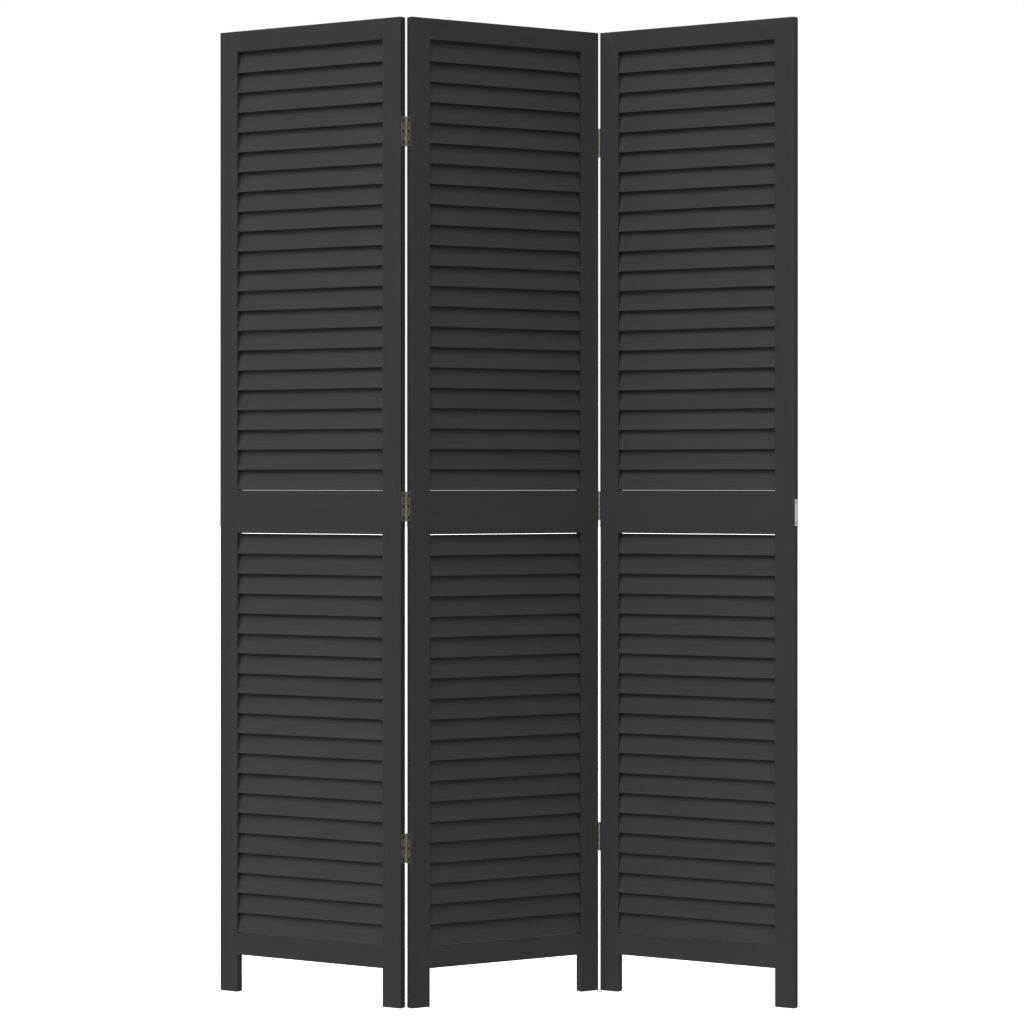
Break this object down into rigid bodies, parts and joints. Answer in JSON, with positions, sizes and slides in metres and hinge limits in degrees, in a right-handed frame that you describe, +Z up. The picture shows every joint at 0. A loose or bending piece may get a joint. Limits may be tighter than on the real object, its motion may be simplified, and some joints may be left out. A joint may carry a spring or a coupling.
{
  "type": "folding screen",
  "caption": "Free-standing louvred folding screen: slim stile-and-rail panels of fixed tilted slats, painted dark grey, on short legs, joined by brass butt hinges so they fold flat.",
  "frame": {"origin": "on the floor under the middle of the centre panel", "axes": "+Z up, +X along the spread of the screen to the right, front of the screen towards -Y"},
  "size_m": [1.068, 0.2132, 1.8],
  "materials": {
    "painted_wood": "satin paint on paulownia",
    "dowel_wood": "bare beech",
    "brass": "aged satin brass",
    "screw_steel": "dark bronzed steel",
    "plate_aluminium": "satin"
  },
  "bodies": {
    "left_panel": {"left_left_stile": "painted_wood", "left_right_stile": "painted_wood", "left_top_rail": "painted_wood", "left_middle_rail": "painted_wood", "left_bottom_rail": "painted_wood", "left_dowels": "dowel_wood", "left_lower_slats": "painted_wood", "left_upper_slats": "painted_wood", "left_top_hinge_side_leaf": "brass", "left_middle_hinge_side_leaf": "brass", "left_bottom_hinge_side_leaf": "brass", "left_panel_hinge_screws": "screw_steel"},
    "centre_panel": {"centre_left_stile": "painted_wood", "centre_right_stile": "painted_wood", "centre_top_rail": "painted_wood", "centre_middle_rail": "painted_wood", "centre_bottom_rail": "painted_wood", "centre_dowels": "dowel_wood", "centre_lower_slats": "painted_wood", "centre_upper_slats": "painted_wood", "left_top_hinge_centre_leaf": "brass", "left_top_hinge_pin": "brass", "left_middle_hinge_centre_leaf": "brass", "left_middle_hinge_pin": "brass", "left_bottom_hinge_centre_leaf": "brass", "left_bottom_hinge_pin": "brass", "right_top_hinge_centre_leaf": "brass", "right_top_hinge_pin": "brass", "right_middle_hinge_centre_leaf": "brass", "right_middle_hinge_pin": "brass", "right_bottom_hinge_centre_leaf": "brass", "right_bottom_hinge_pin": "brass", "centre_panel_left_hinge_screws": "screw_steel", "centre_panel_right_hinge_screws": "screw_steel"},
    "right_panel": {"right_left_stile": "painted_wood", "right_right_stile": "painted_wood", "right_top_rail": "painted_wood", "right_middle_rail": "painted_wood", "right_bottom_rail": "painted_wood", "right_dowels": "dowel_wood", "right_lower_slats": "painted_wood", "right_upper_slats": "painted_wood", "right_top_hinge_side_leaf": "brass", "right_middle_hinge_side_leaf": "brass", "right_bottom_hinge_side_leaf": "brass", "right_panel_hinge_screws": "screw_steel", "edge_plate_screws": "screw_steel", "edge_plate": "plate_aluminium"}
  },
  "joints": [
    {"name": "left_fold", "type": "hinge", "parent": "centre_panel", "child": "left_panel", "pos_m": [-0.17857, -0.09241, 0.9], "axis": [0, 0, 1], "range_deg": [-120, 60]},
    {"name": "right_fold", "type": "hinge", "parent": "centre_panel", "child": "right_panel", "pos_m": [0.17857, 0.09241, 0.9], "axis": [0, 0, 1], "range_deg": [-120, 60]}
  ]
}
